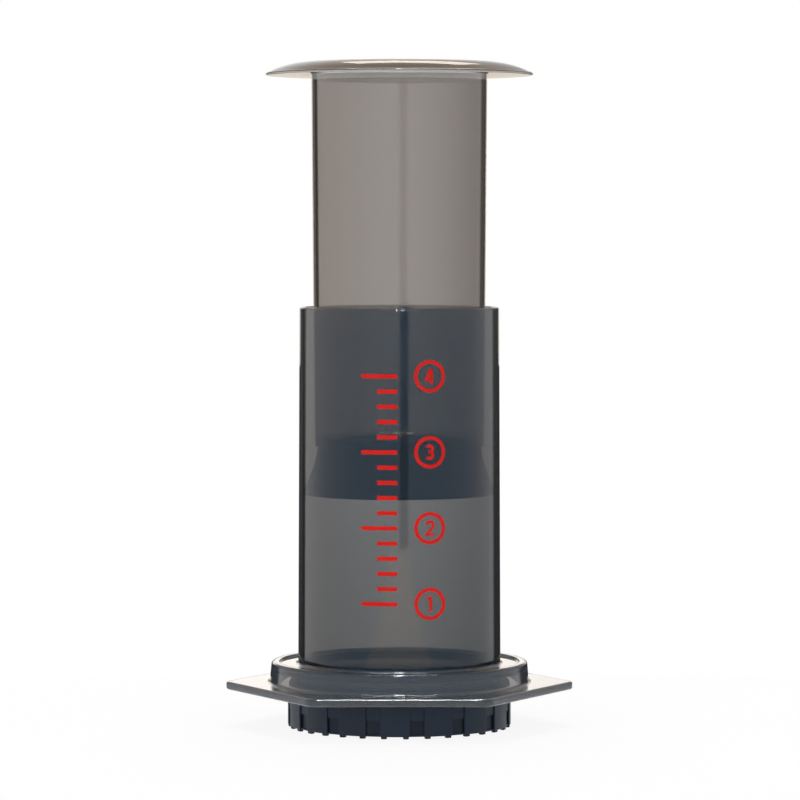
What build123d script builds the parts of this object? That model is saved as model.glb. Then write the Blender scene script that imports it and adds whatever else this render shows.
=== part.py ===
"""Air press coffee maker: a chamber, a plunger with its seal, and a filter cap with its paper.

Millimetres, +Z up. The origin is on the common axis, level with the underside of the cap's feet.
The front is -Y. The plunger is drawn out part of the way, as it stands when brewing begins.
"""
import os
from math import cos, radians

from build123d import *

os.makedirs("parts", exist_ok=True)

# Brew chamber: a long tube on a six-sided flange, with a round collar between them
bore_diameter = 59.2
chamber_length = 127.4
rim_wall = 1.4
foot_wall = 1.9
rim_round_share = 0.42
spigot_length = 8.15
flange_thickness = 2.5
flange_reach = 13.6
flange_sides = 6
flange_corner_radius = 4.0
flange_edge_round = 0.8
channel_depth = 6.15
channel_wall = 2.0
web_thickness = 2.2
trough_width = 5.8
trough_depth = 0.7
trough_round = 0.9
trough_lip_round_share = 0.45
collar_wall = 2.5
collar_lean = 0.6
collar_root_round = 1.0
collar_rim_round_share = 0.42

# Bayonet: lugs on the spigot, tabs in the cap, and a stop at one end of each lug
lug_count = 4
lug_reach = 1.4
lug_rise = 2.4
lug_thickness = 1.8
lug_tail_angle = 3.0
tab_angle = 26.0
tab_thickness = 1.8
stop_angle = 4.0
stop_gap_angle = 0.5
bayonet_clearance = 0.3

# Filter cap: a shallow cup with grip grooves, a perforated plate and small feet
cap_wall = 1.55
cap_headroom = 4.5
foot_height = 0.7
foot_width = 1.7
foot_depth_share = 0.8
foot_round_share = 0.4
feet_per_grip = 2
grip_count = 16
grip_turn_angle = 9.0
groove_width = 4.3
groove_depth_share = 0.32
pad_round_share = 0.22
window_depth_share = 0.6
window_sill = 0.5
window_height = 4.4
plate_recess = 0.7
plate_thickness = 1.6
hole_diameter = 2.8
hole_ring_pitch = 5.3
hole_margin = 1.0
holes_per_ring_step = 6

# Paper filter: a disc that lies on the plate, under the end of the spigot
paper_thickness = 0.2
paper_margin = 1.2

# Plunger seal: an elastomer cup stretched over the plunger's bead, with a lip that meets the bore
stroke_left = 69.3
seal_clearance = 0.08
seal_floor = 2.7
seal_lip_height = 2.2
seal_lip_round = 0.6
seal_shoulder_step = 1.0
seal_hollow = 0.75

# Plunger: a tapered tube, open at the top, with a domed flange for the hand
shoulder_gap = 3.2
plunger_draft = 0.85
plunger_wall = 1.5
plunger_tube_length = 119.0
plunger_floor = 2.2
neck_step = 6.4
neck_length = 7.5
neck_clearance = 0.1
bead_reach = 3.0
bead_height = 4.8
bead_clearance = 0.3
hand_reach = 14.25
hand_dome_drop = 3.3
hand_tip_thickness = 0.9
hand_under_rise = 0.8
hand_root_round = 0.8
hand_crest_round_share = 0.35
mouth_flare = 1.3
mouth_flare_height = 3.8
mouth_bend_round = 3.0

# Radii, from the bore outwards
bore_radius = bore_diameter / 2
rim_radius = bore_radius + rim_wall
spigot_radius = bore_radius + foot_wall
trough_radius = spigot_radius + trough_width
collar_top_radius = trough_radius + collar_wall
collar_base_radius = collar_top_radius + collar_lean
channel_radius = collar_base_radius - channel_wall
lug_radius = spigot_radius + lug_reach
cap_inner_radius = lug_radius + bayonet_clearance
cap_radius = cap_inner_radius + cap_wall
tab_radius = spigot_radius + bayonet_clearance
paper_radius = cap_inner_radius - paper_margin

# Radii, from the bore inwards
seal_radius = bore_radius - seal_clearance
shoulder_radius = bore_radius - shoulder_gap
plunger_top_radius = shoulder_radius + plunger_draft
hand_radius = plunger_top_radius + hand_reach
neck_radius = shoulder_radius - neck_step
bead_radius = neck_radius + bead_reach
seal_top_radius = shoulder_radius - seal_shoulder_step

# Heights, from the feet upwards
skirt_bottom = foot_height
plate_bottom = skirt_bottom + plate_recess
plate_top = plate_bottom + plate_thickness
spigot_end = plate_top + paper_thickness
lug_bottom = spigot_end + lug_rise
lug_top = lug_bottom + lug_thickness
tab_top = lug_top + tab_thickness
flange_bottom = spigot_end + spigot_length
flange_top = flange_bottom + flange_thickness
channel_top = flange_bottom + channel_depth
cap_top = channel_top - cap_headroom
trough_floor = channel_top + web_thickness
collar_top = trough_floor + trough_depth
chamber_top = spigot_end + chamber_length
seal_bottom = spigot_end + stroke_left
bead_bottom = seal_bottom + seal_floor
bead_top = bead_bottom + bead_height
shoulder = bead_top + neck_length
plunger_top = shoulder + plunger_tube_length
hand_tip_top = plunger_top - hand_dome_drop
hand_tip_bottom = hand_tip_top - hand_tip_thickness


def corners_at(profile, *points):
    """The corners of a profile that lie at the given points."""
    return [profile.vertices().sort_by_distance(point)[0] for point in points]


def ring_sector(inner, outer, start_angle, end_angle):
    """Part of a flat ring, between two radii and two angles."""
    with BuildSketch() as sector:
        with BuildLine():
            inside = CenterArc((0, 0), inner, start_angle, end_angle - start_angle)
            outside = CenterArc((0, 0), outer, start_angle, end_angle - start_angle)
            Line(inside @ 0, outside @ 0)
            Line(inside @ 1, outside @ 1)
        make_face()
    return sector.sketch


# The flange is six-sided, with corners to the left and right and a flat to the front
with BuildPart() as brew_chamber:
    half_turn = radians(360 / flange_sides / 2)
    corner_cut = flange_corner_radius * (1 / cos(half_turn) - 1)
    with BuildSketch(Plane.XY.offset(flange_bottom)) as flange_outline:
        RegularPolygon(collar_base_radius + flange_reach + corner_cut, flange_sides)
        fillet(flange_outline.vertices(), flange_corner_radius)
        Circle(channel_radius, mode=Mode.SUBTRACT)
    extrude(amount=flange_thickness)
    flange_faces = brew_chamber.faces().sort_by(Axis.Z)
    flange_rims = flange_faces[0].outer_wire().edges() + flange_faces[-1].outer_wire().edges()
    fillet(flange_rims, flange_edge_round)

    # One turned profile holds the tube, the shallow trough's web and the collar
    with BuildSketch(Plane.XZ) as chamber_profile:
        with BuildLine():
            root_radius = collar_base_radius + collar_root_round
            Polyline(
                (collar_base_radius, flange_top + collar_root_round),
                (collar_top_radius, collar_top),
                (trough_radius, collar_top),
                (trough_radius, trough_floor),
                (spigot_radius, trough_floor),
                (rim_radius, chamber_top),
                (bore_radius, chamber_top),
                (bore_radius, spigot_end),
                (spigot_radius, spigot_end),
                (spigot_radius, channel_top),
                (channel_radius, channel_top),
                (channel_radius, flange_bottom),
                (root_radius, flange_bottom),
                (root_radius, flange_top),
            )
            RadiusArc(
                (root_radius, flange_top),
                (collar_base_radius, flange_top + collar_root_round),
                collar_root_round,
            )
        make_face()
        rim_corners = corners_at(chamber_profile, (rim_radius, chamber_top), (bore_radius, chamber_top))
        fillet(rim_corners, rim_wall * rim_round_share)
        collar_corner = corners_at(chamber_profile, (collar_top_radius, collar_top))
        fillet(collar_corner, collar_wall * collar_rim_round_share)
        lip_corners = corners_at(
            chamber_profile, (trough_radius, collar_top), (trough_radius, trough_floor)
        )
        fillet(lip_corners, trough_depth * trough_lip_round_share)
        fillet(corners_at(chamber_profile, (spigot_radius, trough_floor)), trough_round)
    revolve(axis=Axis.Z)

    # Lugs that hold the cap, each with a stop standing on its far end
    stop_end_angle = -tab_angle / 2 - stop_gap_angle
    lug_start_angle = stop_end_angle - stop_angle
    lug_root_radius = bore_radius + foot_wall / 2
    with BuildSketch(Plane.XY.offset(lug_bottom)):
        with PolarLocations(0, lug_count):
            add(ring_sector(lug_root_radius, lug_radius, lug_start_angle, tab_angle / 2 + lug_tail_angle))
    extrude(amount=lug_thickness)
    with BuildSketch(Plane.XY.offset(lug_top)):
        with PolarLocations(0, lug_count):
            add(ring_sector(lug_root_radius, lug_radius, lug_start_angle, stop_end_angle))
    extrude(amount=tab_thickness)

brew_chamber.part.label = "brew_chamber"
export_step(brew_chamber.part, "parts/brew_chamber.step")


# The cap's skirt stands inside the channel under the collar, and its tabs hang on the lugs
with BuildPart() as filter_cap:
    # Grip grooves run the skirt's whole height, and the pads between them have soft edges
    groove_depth = cap_wall * groove_depth_share
    pad_round = cap_wall * pad_round_share
    with BuildSketch(Plane.XY.offset(skirt_bottom)) as skirt_outline:
        Circle(cap_radius)
        with PolarLocations(cap_radius, grip_count, grip_turn_angle):
            Rectangle(2 * groove_depth, groove_width, mode=Mode.SUBTRACT)
        pad_corners = skirt_outline.vertices().filter_by(
            lambda corner: Vector(corner).length > cap_radius - groove_depth / 2
        )
        fillet(pad_corners, pad_round)
        Circle(cap_inner_radius, mode=Mode.SUBTRACT)
    extrude(amount=cap_top - skirt_bottom)
    skirt_ends = filter_cap.faces().filter_by(Plane.XY).sort_by(Axis.Z)
    chamfer(skirt_ends[0].outer_wire().edges() + skirt_ends[-1].outer_wire().edges(), pad_round / 2)

    # Each groove has a deeper window at its foot
    window_depth = cap_wall * window_depth_share
    with BuildSketch(Plane.XY.offset(skirt_bottom + window_sill)):
        with PolarLocations(cap_radius, grip_count, grip_turn_angle):
            Rectangle(2 * window_depth, groove_width)
    extrude(amount=window_height, mode=Mode.SUBTRACT)

    # The plate's holes lie on rings, as many rings as the bore has room for
    hole_radius = hole_diameter / 2
    hole_rings = int((bore_radius - hole_margin - hole_radius) / hole_ring_pitch)
    with BuildSketch(Plane.XY.offset(plate_bottom)):
        Circle(cap_inner_radius + cap_wall / 4)
        Circle(hole_radius, mode=Mode.SUBTRACT)
        for ring in range(1, hole_rings + 1):
            with PolarLocations(ring * hole_ring_pitch, ring * holes_per_ring_step):
                Circle(hole_radius, mode=Mode.SUBTRACT)
    extrude(amount=plate_thickness)

    with BuildSketch(Plane.XY.offset(lug_top)):
        with PolarLocations(0, lug_count):
            add(ring_sector(tab_radius, cap_inner_radius + cap_wall / 4, -tab_angle / 2, tab_angle / 2))
    extrude(amount=tab_thickness)

    foot_circle_radius = cap_inner_radius + cap_wall / 2
    foot_count = grip_count * feet_per_grip
    with BuildSketch():
        with PolarLocations(foot_circle_radius, foot_count, grip_turn_angle + 180 / foot_count):
            Rectangle(cap_wall * foot_depth_share, foot_width)
    extrude(amount=foot_height)
    fillet(filter_cap.edges().group_by(Axis.Z)[0], foot_height * foot_round_share)

filter_cap.part.label = "filter_cap"
export_step(filter_cap.part, "parts/filter_cap.step")


# The paper is pinched between the plate and the spigot's end
with BuildPart() as paper_filter:
    with BuildSketch(Plane.XY.offset(plate_top)):
        Circle(paper_radius)
    extrude(amount=paper_thickness)

paper_filter.part.label = "paper_filter"
export_step(paper_filter.part, "parts/paper_filter.step")


# The seal flares from the plunger's shoulder down to its lip, and hooks over the bead inside
with BuildPart() as plunger_seal:
    hook_radius = neck_radius + neck_clearance
    pocket_radius = bead_radius + bead_clearance
    lip_top = seal_bottom + seal_lip_height
    with BuildSketch(Plane.XZ) as seal_profile:
        with BuildLine():
            Polyline(
                (seal_top_radius, shoulder),
                (hook_radius, shoulder),
                (hook_radius, bead_top),
                (pocket_radius, bead_top),
                (pocket_radius, bead_bottom),
                (0, bead_bottom),
                (0, seal_bottom),
                (seal_radius, seal_bottom),
                (seal_radius, lip_top),
            )
            SagittaArc((seal_radius, lip_top), (seal_top_radius, shoulder), seal_hollow)
        make_face()
        fillet(corners_at(seal_profile, (seal_radius, seal_bottom)), seal_lip_round)
    revolve(axis=Axis.Z)

plunger_seal.part.label = "plunger_seal"
export_step(plunger_seal.part, "parts/plunger_seal.step")


# The plunger is turned in one profile: bead, neck, tapered tube, flared mouth and domed flange
with BuildPart() as plunger:
    hand_root = hand_tip_bottom + hand_under_rise
    tip_round = hand_tip_thickness / 2
    mouth_radius = plunger_top_radius - plunger_wall
    floor_radius = shoulder_radius - plunger_wall
    mouth_bend = plunger_top - mouth_flare_height
    crest_round = plunger_wall * hand_crest_round_share
    crest_radius = mouth_radius + mouth_flare + crest_round
    with BuildSketch(Plane.XZ) as plunger_profile:
        with BuildLine():
            Polyline(
                (hand_radius - tip_round, hand_tip_bottom),
                (plunger_top_radius, hand_root),
                (shoulder_radius, shoulder),
                (neck_radius, shoulder),
                (neck_radius, bead_top),
                (bead_radius, bead_top),
                (bead_radius, bead_bottom),
                (0, bead_bottom),
                (0, bead_bottom + plunger_floor),
                (neck_radius - plunger_wall, bead_bottom + plunger_floor),
                (neck_radius - plunger_wall, shoulder + plunger_floor),
                (floor_radius, shoulder + plunger_floor),
                (mouth_radius, mouth_bend),
                (mouth_radius + mouth_flare, plunger_top),
                (crest_radius, plunger_top),
            )
            TangentArc(
                (crest_radius, plunger_top),
                (hand_radius - tip_round, hand_tip_top),
                tangent=(1, 0),
            )
            ThreePointArc(
                (hand_radius - tip_round, hand_tip_top),
                (hand_radius, hand_tip_bottom + tip_round),
                (hand_radius - tip_round, hand_tip_bottom),
            )
        make_face()
        fillet(corners_at(plunger_profile, (mouth_radius + mouth_flare, plunger_top)), crest_round / 2)
        fillet(corners_at(plunger_profile, (mouth_radius, mouth_bend)), mouth_bend_round)
        fillet(corners_at(plunger_profile, (plunger_top_radius, hand_root)), hand_root_round)
    revolve(axis=Axis.Z)

plunger.part.label = "plunger"
export_step(plunger.part, "parts/plunger.step")
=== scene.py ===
from math import atan2, cos, pi, radians, sin, sqrt, tan

import bmesh
import bpy
from mathutils import Matrix, Vector


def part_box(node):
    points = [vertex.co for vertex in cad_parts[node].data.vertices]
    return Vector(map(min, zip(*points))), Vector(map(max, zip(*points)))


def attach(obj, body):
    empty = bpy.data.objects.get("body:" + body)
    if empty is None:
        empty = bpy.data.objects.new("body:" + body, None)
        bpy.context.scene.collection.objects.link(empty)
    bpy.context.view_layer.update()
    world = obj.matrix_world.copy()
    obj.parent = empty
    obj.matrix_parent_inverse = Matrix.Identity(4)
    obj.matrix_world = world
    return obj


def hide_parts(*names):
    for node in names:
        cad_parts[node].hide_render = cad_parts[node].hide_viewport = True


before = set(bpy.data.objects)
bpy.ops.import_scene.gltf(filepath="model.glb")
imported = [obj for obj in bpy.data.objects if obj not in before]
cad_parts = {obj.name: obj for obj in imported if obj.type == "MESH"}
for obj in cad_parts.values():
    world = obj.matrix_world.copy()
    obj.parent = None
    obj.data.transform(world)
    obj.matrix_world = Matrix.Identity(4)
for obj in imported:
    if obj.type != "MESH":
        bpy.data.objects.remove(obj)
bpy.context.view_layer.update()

bpy.context.scene.view_settings.view_transform = "Standard"


# Filter cap: a shallow cup moulded in blue-black plastic, with grip grooves, small feet and a
# perforated plate. It turns on to the chamber's spigot, with its tabs over the spigot's lugs.
cap_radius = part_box("filter_cap")[1].x
window_depth = 0.0007
painted_shade_blend = 0.0001
# Painted shade: a darker colour for the window recesses in the cap's skirt, standing in for the
# shade that falls in them.
recess_painted_shade = (0.006, 0.012, 0.025)
cloud_range = (0.35, 0.65)


def new_material(name, *cad_nodes):
    """A material with an empty Principled shader, put on the given CAD nodes."""
    material = bpy.data.materials.new(name)
    material.use_nodes = True
    for node_name in cad_nodes:
        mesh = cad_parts[node_name].data
        mesh.materials.clear()
        mesh.materials.append(material)
    nodes = material.node_tree.nodes
    return material, nodes, material.node_tree.links, nodes["Principled BSDF"]


def grain_group():
    """Moulded skin: a fine grain for bump, and slow cloudy patches for colour and polish."""
    group = bpy.data.node_groups.new("moulded_skin", "ShaderNodeTree")
    socket = group.interface.new_socket
    for name, value in (("Grain Scale", 2500.0), ("Cloud Scale", 45.0)):
        socket(name, in_out="INPUT", socket_type="NodeSocketFloat").default_value = value
    for name in ("Grain", "Cloud"):
        socket(name, in_out="OUTPUT", socket_type="NodeSocketFloat")
    nodes, links = group.nodes, group.links
    inputs = nodes.new("NodeGroupInput")
    outputs = nodes.new("NodeGroupOutput")
    place = nodes.new("ShaderNodeTexCoord")
    for name, detail in (("Grain", 2.0), ("Cloud", 4.0)):
        noise = nodes.new("ShaderNodeTexNoise")
        noise.inputs["Detail"].default_value = detail
        links.new(place.outputs["Object"], noise.inputs["Vector"])
        links.new(inputs.outputs[name + " Scale"], noise.inputs["Scale"])
        links.new(noise.outputs["Fac"], outputs.inputs[name])
    return group


moulded_skin = grain_group()


def place_skin(nodes, grain_scale, cloud_scale):
    """The moulded skin with its own scales, as its grain and cloud masks."""
    skin = nodes.new("ShaderNodeGroup")
    skin.node_tree = moulded_skin
    skin.inputs["Grain Scale"].default_value = grain_scale
    skin.inputs["Cloud Scale"].default_value = cloud_scale
    return skin.outputs["Grain"], skin.outputs["Cloud"]


def blend_colours(nodes, links, cloud, low, high):
    """Colour that runs from low to high as the cloud goes from dark to light."""
    ramp = nodes.new("ShaderNodeValToRGB")
    for element, position, colour in zip(ramp.color_ramp.elements, cloud_range, (low, high)):
        element.position = position
        element.color = (*colour, 1.0)
    links.new(cloud, ramp.inputs["Fac"])
    return ramp.outputs["Color"]


def rise(nodes, links, value, start, end, low=0.0, high=1.0):
    """Value that goes from low to high as another goes from start to end."""
    reach = nodes.new("ShaderNodeMapRange")
    limits = {"From Min": start, "From Max": end, "To Min": low, "To Max": high}
    for name, limit in limits.items():
        reach.inputs[name].default_value = limit
    links.new(value, reach.inputs["Value"])
    return reach.outputs["Result"]


def mix_colours(nodes, links, factor, under, over):
    """Colour that goes from under to over with a factor; each is a socket or a plain colour."""
    mix = nodes.new("ShaderNodeMix")
    mix.data_type = "RGBA"
    links.new(factor, mix.inputs["Factor"])
    for name, colour in (("A", under), ("B", over)):
        if isinstance(colour, tuple):
            mix.inputs[name].default_value = (*colour, 1.0)
        else:
            links.new(colour, mix.inputs[name])
    return mix.outputs["Result"]


def raise_bump(nodes, links, shader, height, strength, distance):
    """Bump on a shader's normal."""
    bump = nodes.new("ShaderNodeBump")
    bump.inputs["Strength"].default_value = strength
    bump.inputs["Distance"].default_value = distance
    links.new(height, bump.inputs["Height"])
    links.new(bump.outputs["Normal"], shader.inputs["Normal"])


nodes, links, shader = new_material("cap_plastic", "filter_cap")[1:]
grain, cloud = place_skin(nodes, grain_scale=3200.0, cloud_scale=60.0)
place = nodes.new("ShaderNodeTexCoord")
flat = nodes.new("ShaderNodeVectorMath")
flat.operation = "MULTIPLY"
flat.inputs[1].default_value = (1.0, 1.0, 0.0)
links.new(place.outputs["Object"], flat.inputs[0])
from_axis = nodes.new("ShaderNodeVectorMath")
from_axis.operation = "LENGTH"
links.new(flat.outputs["Vector"], from_axis.inputs[0])
# Painted shade: all of the cap nearer the axis than the skirt's face, the window recesses among it,
# takes the darker colour, and the skirt's face keeps its blue.
painted_shade_radius = cap_radius - window_depth
painted_shade_range = (painted_shade_radius - painted_shade_blend, painted_shade_radius + painted_shade_blend)
outside_painted_shade = rise(nodes, links, from_axis.outputs["Value"], *painted_shade_range)
skirt_blue = blend_colours(
    nodes, links, cloud, low=(0.013, 0.023, 0.041), high=(0.018, 0.031, 0.053)
)
cap_colour = mix_colours(nodes, links, outside_painted_shade, recess_painted_shade, skirt_blue)
links.new(cap_colour, shader.inputs["Base Color"])
links.new(rise(nodes, links, cloud, *cloud_range, low=0.34, high=0.46), shader.inputs["Roughness"])
shader.inputs["Specular IOR Level"].default_value = 0.25
raise_bump(nodes, links, shader, grain, strength=0.12, distance=0.00004)


# Paper filter: a thin disc of creped filter paper, which lies loose on the cap's plate until the
# chamber's spigot pinches its edge.
nodes, links, shader = new_material("filter_paper", "paper_filter")[1:]
grain, cloud = place_skin(nodes, grain_scale=900.0, cloud_scale=220.0)
links.new(
    blend_colours(nodes, links, cloud, low=(0.80, 0.76, 0.69), high=(0.88, 0.85, 0.79)),
    shader.inputs["Base Color"],
)
shader.inputs["Roughness"].default_value = 0.9
raise_bump(nodes, links, shader, grain, strength=0.5, distance=0.00015)


# Brew chamber: one moulding in clear smoke-grey plastic. A long tube stands on a six-sided flange,
# with a round collar and a trough between them, and a spigot with bayonet lugs below.
chamber_low, chamber_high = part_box("brew_chamber")
bore_radius = 0.0296
rim_radius = 0.0310
spigot_radius = 0.0315
spigot_end = chamber_low.z
chamber_top = chamber_high.z
flange_bottom = spigot_end + 0.00815
flange_top = flange_bottom + 0.0025
flange_tip = chamber_high.x
flange_flat = chamber_high.y
corner_count = 6
corner_radius = 0.004
corner_centre = flange_tip - corner_radius
flange_edge_round = 0.0008
channel_radius = 0.0384
channel_top = flange_bottom + 0.00615
trough_radius = 0.0373
trough_floor = channel_top + 0.0022
collar_top = trough_floor + 0.0007
collar_top_radius = 0.0398
collar_base_radius = 0.0404
collar_root_round = 0.001
collar_rim_round = 0.00105
trough_round = 0.0009
trough_lip_round = 0.000315
rim_round = 0.00059
lug_radius = 0.0329
lug_bottom = spigot_end + 0.0024
lug_top = lug_bottom + 0.0018
stop_top = lug_top + 0.0018
lug_count = 4
lug_angles = (radians(-17.5), radians(16.0))
stop_end_angle = radians(-13.5)


def outline(corners, steps=7, hold=0.0004):
    """Profile of (radius, height) points from (radius, height, round) corners.

    A round becomes an arc, with a point held close to each of its ends so that the long faces
    beside it keep their own normals."""
    spots = [Vector(corner[:2]) for corner in corners]
    sides = []
    for index, here in enumerate(spots):
        to_last = spots[index - 1] - here
        to_next = spots[(index + 1) % len(spots)] - here
        round_size = corners[index][2]
        half = to_last.angle(to_next) / 2 if round_size else pi / 2
        sides.append((to_last, to_next, half, round_size / tan(half)))
    points = []
    for index, here in enumerate(spots):
        to_last, to_next, half, reach = sides[index]
        round_size = corners[index][2]
        if not round_size:
            points.append(here)
            continue
        room_before = to_last.length - reach - sides[index - 1][3]
        room_after = to_next.length - reach - sides[(index + 1) % len(spots)][3]
        to_last, to_next = to_last.normalized(), to_next.normalized()
        centre = here + (to_last + to_next).normalized() * round_size / sin(half)
        start = here + to_last * reach
        end = here + to_next * reach
        turn = (end - centre).angle_signed(start - centre)
        points.append(start + to_last * min(hold, room_before / 3))
        for step in range(steps + 1):
            points.append(centre + Matrix.Rotation(turn * step / steps, 2) @ (start - centre))
        points.append(end + to_next * min(hold, room_after / 3))
    return points


def new_piece(name, bm):
    """An object in the scene from a finished bmesh."""
    mesh = bpy.data.meshes.new(name)
    bm.to_mesh(mesh)
    bm.free()
    piece = bpy.data.objects.new(name, mesh)
    bpy.context.scene.collection.objects.link(piece)
    return piece


def turned(name, columns, closed=True, merge=1e-7, sharp=radians(32)):
    """Closed mesh from columns of (angle, [(radius, height), ...]) set round the Z axis."""
    bm = bmesh.new()
    rows = []
    for angle, points in columns:
        rows.append([bm.verts.new((r * cos(angle), r * sin(angle), z)) for r, z in points])
    height_count = len(columns[0][1])
    for left, right in zip(rows, rows[1:] + rows[:1]):
        for index in range(height_count if closed else height_count - 1):
            above = (index + 1) % height_count
            bm.faces.new((left[index], right[index], right[above], left[above]))
    bmesh.ops.remove_doubles(bm, verts=bm.verts, dist=merge)
    bmesh.ops.dissolve_degenerate(bm, edges=bm.edges, dist=merge)
    bmesh.ops.recalc_face_normals(bm, faces=bm.faces)
    for face in bm.faces:
        face.smooth = True
    piece = new_piece(name, bm)
    piece.data.set_sharp_from_angle(angle=sharp)
    return piece


def six_sided(angle, inset):
    """Radius of the flange's outline at an angle, drawn in by an inset."""
    sixth = 2 * pi / corner_count
    off_corner = (angle + sixth / 2) % sixth - sixth / 2
    round_size = corner_radius - inset
    arc_end = atan2(round_size * sin(sixth / 2), corner_centre + round_size * cos(sixth / 2))
    if abs(off_corner) < arc_end:
        across = corner_centre * sin(off_corner)
        return corner_centre * cos(off_corner) + sqrt(round_size ** 2 - across ** 2)
    return (flange_flat - inset) / cos(sixth / 2 - abs(off_corner))


chamber_corners = [
    (bore_radius, spigot_end, 0),
    (spigot_radius, spigot_end, 0),
    (spigot_radius, lug_bottom, 0),
    (spigot_radius, lug_bottom, 0),
    (spigot_radius, lug_top, 0),
    (spigot_radius, lug_top, 0),
    (spigot_radius, stop_top, 0),
    (spigot_radius, stop_top, 0),
    (spigot_radius, channel_top, 0),
    (channel_radius, channel_top, 0),
    (channel_radius, flange_bottom, 0),
    (flange_tip, flange_bottom, flange_edge_round),
    (flange_tip, flange_top, flange_edge_round),
    (collar_base_radius, flange_top, collar_root_round),
    (collar_top_radius, collar_top, collar_rim_round),
    (trough_radius, collar_top, trough_lip_round),
    (trough_radius, trough_floor, trough_lip_round),
    (spigot_radius, trough_floor, trough_round),
    (rim_radius, chamber_top, rim_round),
    (bore_radius, chamber_top, rim_round),
]
chamber_outline = outline(chamber_corners)
flange_starts = collar_base_radius + 2 * collar_root_round
# Which of the spigot's doubled points, counted from the bore, step out to form a lug or its stop.
lug_reaches = {
    "plain": (),
    "lug": (3, 4),
    "stop": (3, 4, 5, 6),
}


def chamber_column(angle, form):
    """The chamber's profile at one angle, with the bayonet form that the spigot has there."""
    column = []
    for index, (radius, height) in enumerate(chamber_outline):
        if index in lug_reaches[form]:
            radius = lug_radius
        elif radius > flange_starts:
            radius = six_sided(angle, flange_tip - radius)
        column.append((radius, height))
    return column


def spigot_form(angle):
    """Whether an angle is on a plain stretch of the spigot, on a lug or on a lug's stop."""
    pitch = 2 * pi / lug_count
    local = (angle + pitch / 2) % pitch - pitch / 2
    if not lug_angles[0] < local < lug_angles[1]:
        return "plain"
    return "stop" if local < stop_end_angle else "lug"


even_steps = 240
corner_steps = 8
corner_spread = radians(2.4)
angles = {2 * pi * step / even_steps for step in range(even_steps)}
for corner in range(corner_count):
    for step in range(-corner_steps, corner_steps + 1):
        turn = corner * 2 * pi / corner_count + corner_spread * step / corner_steps
        angles.add(turn % (2 * pi))
breaks = set()
for lug in range(lug_count):
    for local in (*lug_angles, stop_end_angle):
        breaks.add((lug * 2 * pi / lug_count + local) % (2 * pi))
hair = 1e-6
chamber_columns = []
for angle in sorted(angles | breaks):
    for side in (-hair, hair) if angle in breaks else (0,):
        chamber_columns.append((angle, chamber_column(angle, spigot_form(angle + side))))
chamber = turned("smoked_chamber", chamber_columns)


def set_stops(ramp, stops):
    """Fills a colour ramp with (place, colour) stops, spread from the first place to the last."""
    elements = ramp.color_ramp.elements
    while len(elements) < len(stops):
        elements.new(0.5)
    start, end = stops[0][0], stops[-1][0]
    for element, (place, colour) in zip(elements, stops):
        element.position = (place - start) / (end - start)
        element.color = colour


def smoked_plastic(name, tint, depth, haze_and_painted_light):
    """Clear tinted plastic: light is dimmed by depth per metre, less in the tint's colour.

    A veil lies over it, in (height, colour) levels, where the colour's fourth value is the veil's
    share: a faint haze at some heights, and painted light at others."""
    material, nodes, links, shader = new_material(name)
    cloud = place_skin(nodes, grain_scale=1400.0, cloud_scale=30.0)[1]
    polish = rise(nodes, links, cloud, *cloud_range, low=0.015, high=0.05)
    shader.inputs["Base Color"].default_value = (1.0, 1.0, 1.0, 1.0)
    shader.inputs["Transmission Weight"].default_value = 1.0
    veil = nodes.new("ShaderNodeBsdfPrincipled")
    for layer in (shader, veil):
        layer.inputs["IOR"].default_value = 1.5
        links.new(polish, layer.inputs["Roughness"])
    place = nodes.new("ShaderNodeTexCoord")
    parts = nodes.new("ShaderNodeSeparateXYZ")
    links.new(place.outputs["Object"], parts.inputs["Vector"])
    levels = nodes.new("ShaderNodeValToRGB")
    set_stops(levels, haze_and_painted_light)
    links.new(rise(nodes, links, parts.outputs["Z"], haze_and_painted_light[0][0], haze_and_painted_light[-1][0]), levels.inputs["Fac"])
    links.new(levels.outputs["Color"], veil.inputs["Base Color"])
    mix = nodes.new("ShaderNodeMixShader")
    links.new(levels.outputs["Alpha"], mix.inputs["Fac"])
    links.new(shader.outputs["BSDF"], mix.inputs[1])
    links.new(veil.outputs["BSDF"], mix.inputs[2])
    links.new(mix.outputs["Shader"], nodes["Material Output"].inputs["Surface"])
    absorption = nodes.new("ShaderNodeVolumeAbsorption")
    absorption.inputs["Color"].default_value = (*tint, 1.0)
    absorption.inputs["Density"].default_value = depth
    links.new(absorption.outputs["Volume"], nodes["Material Output"].inputs["Volume"])
    return material


# Painted light: below the collar's top the veil is paler and thicker, lightening the flange and
# collar as light reflected in them would. Above it the tube has a faint bluish haze.
flange_painted_light = (0.66, 0.76, 0.88, 0.08)
tube_haze = (0.05, 0.4, 0.9, 0.018)
collar_fade = 0.001
chamber_smoke = smoked_plastic(
    "chamber_smoke",
    tint=(0.17, 0.14, 0.09),
    depth=690.0,
    haze_and_painted_light=[(collar_top - collar_fade, flange_painted_light), (collar_top, tube_haze)],
)
chamber.data.materials.append(chamber_smoke)
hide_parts("brew_chamber")
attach(chamber, "chamber")


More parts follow.
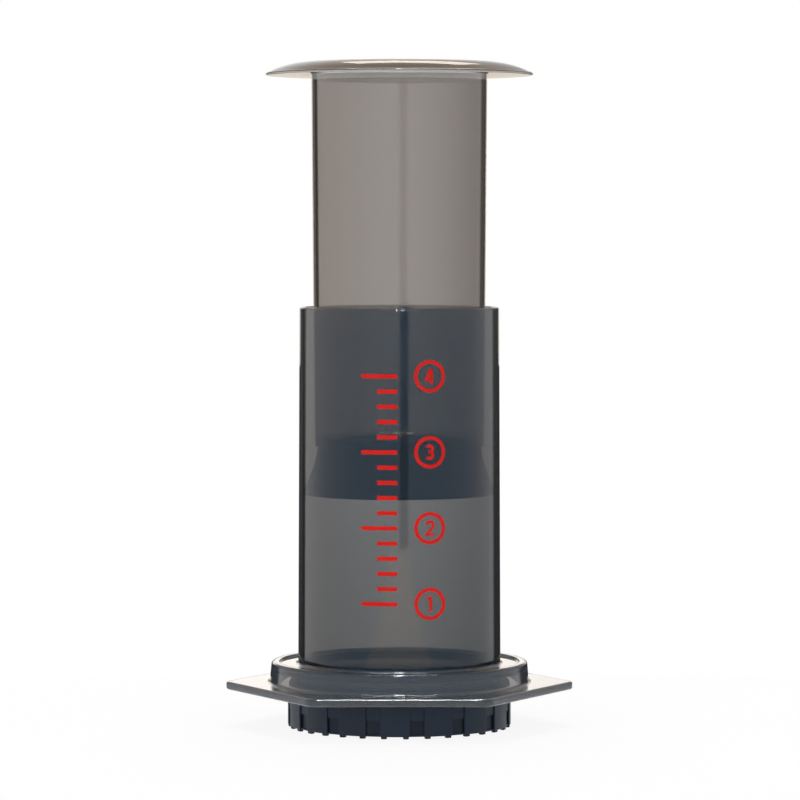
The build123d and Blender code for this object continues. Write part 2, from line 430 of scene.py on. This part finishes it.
# Printed marks: red ink on the outside of the chamber, screen-printed. Plain numbers in rings
# show the fill, beside a plain scale of ticks.
ink_thickness = 0.00006
ink_sink = 0.00002
strip_width = 0.0004
number_angle = radians(17.36)
number_heights = (0.04090, 0.06402, 0.08714, 0.11026)
ring_outer = 0.00495
ring_stroke = 0.0011
ring_radius = ring_outer - ring_stroke / 2
ring_steps = 72
digit_height = 0.0046
digit_stroke = 0.0009
red_ink, nodes, links, shader = new_material("red_ink")
grain, cloud = place_skin(nodes, grain_scale=2600.0, cloud_scale=180.0)
links.new(
    blend_colours(nodes, links, cloud, low=(0.66, 0.007, 0.004), high=(0.72, 0.010, 0.006)),
    shader.inputs["Base Color"],
)
shader.inputs["Roughness"].default_value = 0.38
shader.inputs["Specular IOR Level"].default_value = 0.2
raise_bump(nodes, links, shader, grain, strength=0.1, distance=0.00003)


def tube_radius(height):
    """Outer radius of the chamber's tapered tube at a height."""
    share = (height - trough_floor) / (chamber_top - trough_floor)
    return spigot_radius + (rim_radius - spigot_radius) * share


def printed(name, bm, merge=1e-7):
    """Wraps a flat drawing, in metres from the front line and above the base, round the tube."""
    low = min(v.co.x for v in bm.verts)
    high = max(v.co.x for v in bm.verts)
    for step in range(1, int((high - low) / strip_width) + 1):
        geometry = bm.verts[:] + bm.edges[:] + bm.faces[:]
        cut = Vector((low + step * strip_width, 0, 0))
        bmesh.ops.bisect_plane(bm, geom=geometry, plane_co=cut, plane_no=(1, 0, 0), dist=merge)
    bmesh.ops.recalc_face_normals(bm, faces=bm.faces)
    raised = bmesh.ops.extrude_face_region(bm, geom=bm.faces[:])
    top = {v for v in raised["geom"] if isinstance(v, bmesh.types.BMVert)}
    for vert in bm.verts:
        across, height = vert.co.x, vert.co.y
        radius = tube_radius(height)
        angle = across / radius
        radius += ink_thickness if vert in top else -ink_sink
        vert.co = (radius * sin(angle), -radius * cos(angle), height)
    bmesh.ops.recalc_face_normals(bm, faces=bm.faces)
    piece = new_piece(name, bm)
    piece.data.materials.append(red_ink)
    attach(piece, "chamber")


def stroke(bm, path, width, closed=False, sharpest_share=0.5):
    """Draws a line of one width along a flat path, with mitred corners."""
    count = len(path)
    sides = []
    for index, point in enumerate(path):
        here = Vector(point)
        last = Vector(path[index - 1]) if index or closed else None
        after = Vector(path[(index + 1) % count]) if index < count - 1 or closed else None
        before = (here - last).normalized() if last else (after - here).normalized()
        ahead = (after - here).normalized() if after else before
        normal = Vector((-before.y - ahead.y, before.x + ahead.x)).normalized()
        reach = width / 2 / max(normal.dot(Vector((-ahead.y, ahead.x))), sharpest_share)
        sides.append([
            bm.verts.new((here.x + side * reach * normal.x, here.y + side * reach * normal.y, 0))
            for side in (1, -1)
        ])
    for index in range(count if closed else count - 1):
        near, far = sides[index], sides[(index + 1) % count]
        bm.faces.new((near[0], near[1], far[1], far[0]))


def bow(centre, radius, start_degrees, end_degrees, steps=14):
    """Points along an arc, in shares of a digit's height."""
    swing = end_degrees - start_degrees
    turns = [radians(start_degrees + swing * step / steps) for step in range(steps + 1)]
    return [(centre[0] + radius * cos(turn), centre[1] + radius * sin(turn)) for turn in turns]


digit_shares = {
    1: [[(-0.20, 0.30), (0.04, 0.42), (0.04, -0.5)]],
    2: [bow((0, 0.2), 0.23, 170, -40) + [(-0.24, -0.42), (0.27, -0.42)]],
    3: [bow((-0.03, 0.21), 0.21, 150, -85) + bow((-0.03, -0.2), 0.22, 85, -150)],
    4: [[(0.1, -0.5), (0.1, 0.5)], [(0.05, 0.48), (-0.25, -0.22), (0.28, -0.22)]],
}
for number, height in enumerate(number_heights, start=1):
    across = number_angle * tube_radius(height)
    bm = bmesh.new()
    ring = [
        (across + ring_radius * cos(2 * pi * step / ring_steps),
         height + ring_radius * sin(2 * pi * step / ring_steps))
        for step in range(ring_steps)
    ]
    stroke(bm, ring, ring_stroke, closed=True)
    printed(f"number_ring_{number}", bm)
    bm = bmesh.new()
    for path in digit_shares[number]:
        drawn = [(across + x * digit_height, height + y * digit_height) for x, y in path]
        stroke(bm, drawn, digit_stroke)
    printed(f"number_{number}", bm)

tick_right = -0.0006
number_tick_length = 0.0112
tick_length = 0.0062
tick_stroke = 0.0013
ticks_per_number = 5
tick_step = (number_heights[1] - number_heights[0]) / ticks_per_number
bm = bmesh.new()
for tick in range((len(number_heights) - 1) * ticks_per_number + 1):
    height = number_heights[0] + tick * tick_step
    length = tick_length if tick % ticks_per_number else number_tick_length
    stroke(bm, [(tick_right - length, height), (tick_right, height)], tick_stroke)
printed("fill_scale", bm)


# Plunger: a tapered tube in clear warm grey plastic, open at the top. Its domed flange takes the
# palm of the hand, and the seal is stretched over the bead at its foot.
plunger_low, plunger_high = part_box("plunger")
plunger_foot = plunger_low.z
plunger_top = plunger_high.z
shoulder = plunger_foot + 0.0123
bead_top = plunger_foot + 0.0048
bead_radius = 0.0230
neck_radius = 0.0200
shoulder_radius = 0.0264
foot_round = 0.0004
plunger_top_radius = 0.02725
plunger_wall = 0.0015
plunger_floor = 0.0022
neck_bore = neck_radius - plunger_wall
neck_bore_round = 0.0008
shoulder_bore_round = 0.0012
hand_radius = plunger_high.x
hand_tip_top = plunger_top - 0.0033
hand_tip_bottom = hand_tip_top - 0.0009
hand_root = hand_tip_bottom + 0.0008
hand_root_round = 0.0008
mouth_radius = plunger_top_radius - plunger_wall
mouth_flare = 0.0013
mouth_bend = plunger_top - 0.0038
mouth_bend_round = 0.003
crest_radius = mouth_radius + mouth_flare + 0.000525
mouth_round = 0.00026
tip_round = (hand_tip_top - hand_tip_bottom) / 2
dome_steps = 28
tip_steps = 8


def arc_points(centre, start, end, steps):
    """Points from start to end round a centre, without start and with end."""
    first = Vector(start) - Vector(centre)
    turn = (Vector(end) - Vector(centre)).angle_signed(first)
    return [
        Vector(centre) + Matrix.Rotation(turn * step / steps, 2) @ first
        for step in range(1, steps + 1)
    ]


dome_start = (crest_radius, plunger_top)
dome_end = (hand_radius - tip_round, hand_tip_top)
dome_run = dome_end[0] - dome_start[0]
dome_drop = dome_start[1] - dome_end[1]
dome_radius = (dome_run ** 2 + dome_drop ** 2) / (2 * dome_drop)
dome_centre = (crest_radius, plunger_top - dome_radius)
tip_centre = (hand_radius - tip_round, hand_tip_bottom + tip_round)
tip_point = (hand_radius, hand_tip_bottom + tip_round)
tip_end = (hand_radius - tip_round, hand_tip_bottom)
inside = outline(
    [
        (0, plunger_foot + plunger_floor, 0),
        (neck_bore, plunger_foot + plunger_floor, neck_bore_round),
        (neck_bore, shoulder + plunger_floor, neck_bore_round),
        (shoulder_radius - plunger_wall, shoulder + plunger_floor, shoulder_bore_round),
        (mouth_radius, mouth_bend, mouth_bend_round),
        (mouth_radius + mouth_flare, plunger_top, mouth_round),
        (crest_radius, plunger_top, 0),
    ]
)
dome = arc_points(dome_centre, dome_start, dome_end, dome_steps)
tip_above = arc_points(tip_centre, dome_end, tip_point, tip_steps)
tip_below = arc_points(tip_centre, tip_point, tip_end, tip_steps)
outside = outline(
    [
        (*tip_end, 0),
        (plunger_top_radius, hand_root, hand_root_round),
        (shoulder_radius, shoulder, foot_round),
        (neck_radius, shoulder, foot_round),
        (neck_radius, bead_top, foot_round),
        (bead_radius, bead_top, foot_round),
        (bead_radius, plunger_foot, foot_round),
        (0, plunger_foot, 0),
    ]
)


def lathe(name, points, steps):
    """A solid of revolution whose outline starts and ends on the axis."""
    return turned(name, [(2 * pi * step / steps, points) for step in range(steps)], closed=False)


plunger = lathe("smoked_plunger", inside + dome + tip_above + tip_below + outside[1:], even_steps)
rim_haze = (0.45, 0.6, 0.7, 0.01)
rim_fade = 0.005
plunger_haze = (0.6, 0.6, 0.6, 0.01)
# Painted highlight: a pale band, half over the plastic, just under the hand flange's tip, standing
# in for a band of reflected light there.
root_painted_highlight = (1.0, 0.95, 0.89, 0.5)
painted_highlight_band = (hand_tip_bottom - 0.0013, hand_tip_bottom + 0.0004)
painted_highlight_fade = 0.0003
plunger_smoke = smoked_plastic(
    "plunger_smoke",
    tint=(0.25, 0.165, 0.085),
    depth=520.0,
    haze_and_painted_light=[
        (chamber_top, rim_haze),
        (chamber_top + rim_fade, plunger_haze),
        (painted_highlight_band[0] - painted_highlight_fade, plunger_haze),
        (painted_highlight_band[0], root_painted_highlight),
        (painted_highlight_band[1], root_painted_highlight),
        (painted_highlight_band[1] + painted_highlight_fade, plunger_haze),
    ],
)
plunger.data.materials.append(plunger_smoke)
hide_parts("plunger")
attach(plunger, "plunger")


# Plunger seal: a cup of dark elastomer, moulded in one. Its lip wipes the bore, and it hooks over
# the plunger's bead.
seal_low, seal_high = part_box("plunger_seal")
seal_foot = seal_low.z
seal_top = seal_high.z
seal_radius = seal_high.x
seal_top_radius = 0.0254
seal_hook = 0.0201
seal_pocket = 0.0233
pocket_round = 0.0003
lip_top = seal_foot + 0.0022
lip_round = 0.0006
bell_hollow = 0.00075
bell_steps = 24
seal_steps = 192
bell_start = Vector((seal_radius, lip_top))
bell_end = Vector((seal_top_radius, seal_top))
bell_chord = bell_end - bell_start
bell_radius = (bell_chord.length ** 2 / 4 + bell_hollow ** 2) / (2 * bell_hollow)
bell_side = Vector((bell_chord.y, -bell_chord.x)).normalized()
bell_centre = (bell_start + bell_end) / 2 + bell_side * (bell_radius - bell_hollow)
lip = outline([(0, seal_foot, 0), (seal_radius, seal_foot, lip_round), (*bell_start, 0)])
bell = arc_points(bell_centre, bell_start, bell_end, bell_steps)
pocket = outline(
    [
        (*bell_end, 0),
        (seal_hook, seal_top, pocket_round),
        (seal_hook, bead_top, pocket_round),
        (seal_pocket, bead_top, pocket_round),
        (seal_pocket, plunger_foot, pocket_round),
        (0, plunger_foot, 0),
    ]
)
seal = lathe("rubber_seal", lip + bell + pocket[1:], seal_steps)
seal_rubber, nodes, links, shader = new_material("seal_rubber")
grain, cloud = place_skin(nodes, grain_scale=1800.0, cloud_scale=90.0)
links.new(
    blend_colours(nodes, links, cloud, low=(0.025, 0.024, 0.020), high=(0.035, 0.034, 0.028)),
    shader.inputs["Base Color"],
)
links.new(rise(nodes, links, cloud, *cloud_range, low=0.5, high=0.62), shader.inputs["Roughness"])
raise_bump(nodes, links, shader, grain, strength=0.2, distance=0.00005)
seal.data.materials.append(seal_rubber)
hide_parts("plunger_seal")
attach(seal, "seal")


# Studio: a white table, clear from below, in a white room with grey flags at the sides of its
# backdrop. A grey panel in front and dim strips behind show only in and through the clear plastic,
# as the stripe down its middle.
white = (1.0, 1.0, 1.0)
table_width = 0.3
table_depth = 0.94
table_centre = (0, -0.33, 0)
table_glow_share = 0.90


def flat_panel(name, width, depth, matrix):
    """A flat stage panel, centred on its own origin and set in place by a matrix."""
    bm = bmesh.new()
    bmesh.ops.create_grid(bm, x_segments=1, y_segments=1, size=0.5)
    bmesh.ops.scale(bm, verts=bm.verts, vec=(width, depth, 1))
    panel = new_piece(name, bm)
    panel.matrix_world = matrix
    return panel


def calculate(nodes, links, operation, first, second, clamp=False):
    """Result of one sum on two values; each is a socket or a plain number."""
    step = nodes.new("ShaderNodeMath")
    step.operation = operation
    step.use_clamp = clamp
    for socket, value in zip(step.inputs, (first, second)):
        if isinstance(value, float):
            socket.default_value = value
        else:
            links.new(value, socket)
    return step.outputs["Value"]


table = flat_panel("table", table_width, table_depth, Matrix.Translation(table_centre))
table_white, nodes, links, shader = new_material("table_white")
shader.inputs["Base Color"].default_value = (0.92, 0.92, 0.92, 1.0)
shader.inputs["Roughness"].default_value = 0.8
shader.inputs["Specular IOR Level"].default_value = 0.0
glow = nodes.new("ShaderNodeEmission")
path = nodes.new("ShaderNodeLightPath")
seen = path.outputs["Is Camera Ray"]
for kind in ("Is Glossy Ray", "Is Transmission Ray"):
    seen = calculate(nodes, links, "MAXIMUM", seen, path.outputs[kind])
glow_share = calculate(nodes, links, "MULTIPLY", seen, table_glow_share)
underside = nodes.new("ShaderNodeNewGeometry").outputs["Backfacing"]
clear = nodes.new("ShaderNodeBsdfTransparent")
lit_table = nodes.new("ShaderNodeMixShader")
one_sided = nodes.new("ShaderNodeMixShader")
for mix, share, under, over in (
    (lit_table, glow_share, shader.outputs["BSDF"], glow.outputs["Emission"]),
    (one_sided, underside, lit_table.outputs["Shader"], clear.outputs["BSDF"]),
):
    links.new(share, mix.inputs["Fac"])
    links.new(under, mix.inputs[1])
    links.new(over, mix.inputs[2])
links.new(one_sided.outputs["Shader"], nodes["Material Output"].inputs["Surface"])
table.data.materials.append(table_white)

# The room round the table, as colours at bearings in degrees to the right of straight ahead of the
# object, which is where the camera is.
plain_level = (0.5, 0.5, 0.5)
black = (0.03, 0.03, 0.03)
left_flag = (0.20, 0.20, 0.20)
right_flag = (0.45, 0.45, 0.45)
cool = (0.61, 0.76, 0.92)
warm_ceiling = (0.9, 0.76, 0.64)
room_colours = [
    (-180, white),
    (-157, white),
    (-153, left_flag),
    (-143, left_flag),
    (-136, (0.85, 0.84, 0.82)),
    (-112, (0.95, 0.95, 0.97)),
    (-80, (0.80, 0.86, 0.95)),
    (-50, cool),
    (50, cool),
    (80, (0.70, 0.79, 0.92)),
    (108, (0.85, 0.86, 0.92)),
    (130, (0.85, 0.85, 0.86)),
    (138, right_flag),
    (166, right_flag),
    (170, (0.55, 0.55, 0.55)),
    (174, (0.7, 0.7, 0.7)),
    (180, white),
]
ceiling_rise = (0.25, 0.5)
ceiling_back = (-0.2, 0.3)
rear_start = (0.70, 0.76)
rear_top = (0.1, 0.09)
world = bpy.data.worlds.new("white_studio")
world.use_nodes = True
bpy.context.scene.world = world
nodes, links = world.node_tree.nodes, world.node_tree.links
place = nodes.new("ShaderNodeTexCoord")
parts = nodes.new("ShaderNodeSeparateXYZ")
links.new(place.outputs["Generated"], parts.inputs["Vector"])
to_right, to_back, to_top = (parts.outputs[axis] for axis in "XYZ")
ahead = calculate(nodes, links, "MULTIPLY", to_back, -1.0)
bearing = calculate(nodes, links, "ARCTAN2", to_right, ahead)
room = nodes.new("ShaderNodeValToRGB")
set_stops(room, [(degrees_right, (*colour, 1.0)) for degrees_right, colour in room_colours])
links.new(rise(nodes, links, bearing, -pi, pi), room.inputs["Fac"])
backward = rise(nodes, links, to_back, *ceiling_back)
ceiling = mix_colours(nodes, links, backward, cool, warm_ceiling)
overhead = rise(nodes, links, to_top, *ceiling_rise)
domed_room = mix_colours(nodes, links, overhead, room.outputs["Color"], ceiling)
path = nodes.new("ShaderNodeLightPath")
glossy, through = path.outputs["Is Glossy Ray"], path.outputs["Is Transmission Ray"]
rear = rise(nodes, links, to_back, *rear_start)
level = rise(nodes, links, to_top, *rear_top)
low_rear = calculate(nodes, links, "MULTIPLY", rear, level)
reflected = calculate(nodes, links, "SUBTRACT", glossy, through, clamp=True)
flagged = calculate(nodes, links, "MULTIPLY", low_rear, reflected)
flagged_room = mix_colours(nodes, links, flagged, domed_room, black)
mirrored = calculate(nodes, links, "MAXIMUM", glossy, through)
shown = mix_colours(nodes, links, mirrored, plain_level, flagged_room)
backdrop = mix_colours(nodes, links, path.outputs["Is Camera Ray"], shown, white)
links.new(backdrop, nodes["Background"].inputs["Color"])

upright = Matrix.Rotation(pi / 2, 4, "X")
gap_distance = 6.0
gap_width = 0.973
gap_turn = radians(5.4)
gap_height = 0.8
gap_top = 0.33
gap_place = Matrix.Translation((0, -gap_distance, gap_top - gap_height / 2)) @ upright
gap = flat_panel("dark_gap", gap_width, gap_height, Matrix.Rotation(gap_turn, 4, "Z") @ gap_place)
gap.visible_camera = False
gap.visible_diffuse = False
gap.visible_transmission = False
gap.visible_shadow = False
gap_grey, nodes, links, shader = new_material("gap_grey")
shader.inputs["Base Color"].default_value = (0.50, 0.55, 0.62, 1.0)
shader.inputs["Specular IOR Level"].default_value = 0.0
gap.data.materials.append(gap_grey)


def backdrop_strip(name, sides, ends, colour, distance=6.0):
    """A dim strip far behind the object, which shows only through its clear plastic."""
    middle = Matrix.Translation((sum(sides) / 2, distance, sum(ends) / 2))
    strip = flat_panel(name, sides[1] - sides[0], ends[1] - ends[0], middle @ upright)
    strip.visible_camera = False
    strip.visible_diffuse = False
    strip.visible_glossy = False
    strip.visible_shadow = False
    shade, nodes, links, shader = new_material(name + "_shade")
    shader.inputs["Base Color"].default_value = (0.0, 0.0, 0.0, 1.0)
    shader.inputs["Specular IOR Level"].default_value = 0.0
    shader.inputs["Emission Color"].default_value = (*colour, 1.0)
    shader.inputs["Emission Strength"].default_value = 1.0
    strip.data.materials.append(shade)


backdrop_strip("low_strip", (-0.003, 0.035), (-0.47, -0.30), colour=(0.73, 0.75, 0.81))
backdrop_strip("middle_strip", (0.004, 0.060), (-0.30, -0.015), colour=(0.03, 0.17, 0.48))
backdrop_strip("high_strip", (-0.003, 0.035), (-0.015, 0.6), colour=(0.86, 0.87, 0.86))


lamp_target = (0, 0, 0.1)
warm = (1.0, 0.88, 0.76)


def softbox(name, spot, size, watts, colour=white, lights=True, shows=False):
    """A flat lamp aimed at the object, which lights it, shows in its gloss, or both."""
    lamp = bpy.data.lights.new(name, "AREA")
    lamp.shape = "RECTANGLE"
    lamp.size, lamp.size_y = size
    lamp.energy = watts
    lamp.color = colour
    box = bpy.data.objects.new(name, lamp)
    box.location = spot
    aim = Vector(lamp_target) - box.location
    box.rotation_euler = aim.to_track_quat("-Z", "Y").to_euler()
    box.visible_diffuse = lights
    box.visible_glossy = shows
    box.visible_transmission = False
    bpy.context.scene.collection.objects.link(box)


softbox("left_softbox", (-0.9, -1.3, 0.7), (0.9, 1.2), watts=6.0)
softbox("right_softbox", (0.9, -1.3, 0.7), (0.9, 1.2), watts=3.0)
softbox("top_softbox", (0, 0.15, 1.2), (0.5, 0.7), watts=7.0)
softbox("edge_light", (0, -0.46, 1.14), (0.13, 0.62), watts=7.5, lights=False, shows=True)
softbox("collar_light", (0, -0.11, 1.2), (0.8, 0.2), watts=6.0, lights=False, shows=True)
softbox("backdrop_glow", (0, 1.6, 0.225), (1.16, 0.35), watts=1.0, colour=warm, shows=True)
softbox("hair_light", (0.04, 1.6, 1.17), (0.4, 0.33), watts=1.1, colour=warm, shows=True)


# Camera: a long lens well back from the object and a little above its middle, tipped down so that
# the object stands in the middle of the picture, as in the photograph.
photo_size = 800
focal_pixels = 4114.0
horizon_row = 208
camera_distance = 1.278
camera_height = 0.1613
camera_side = 0.0002
camera_data = bpy.data.cameras.new("camera")
camera_data.sensor_width = 36.0
camera_data.lens = camera_data.sensor_width * focal_pixels / photo_size
camera_data.clip_end = 50.0
camera = bpy.data.objects.new("camera", camera_data)
camera.location = (camera_side, -camera_distance, camera_height)
camera_tip = atan2(photo_size / 2 - horizon_row, focal_pixels)
camera.rotation_euler = (pi / 2 - camera_tip, 0, 0)
bpy.context.scene.collection.objects.link(camera)
bpy.context.scene.camera = camera
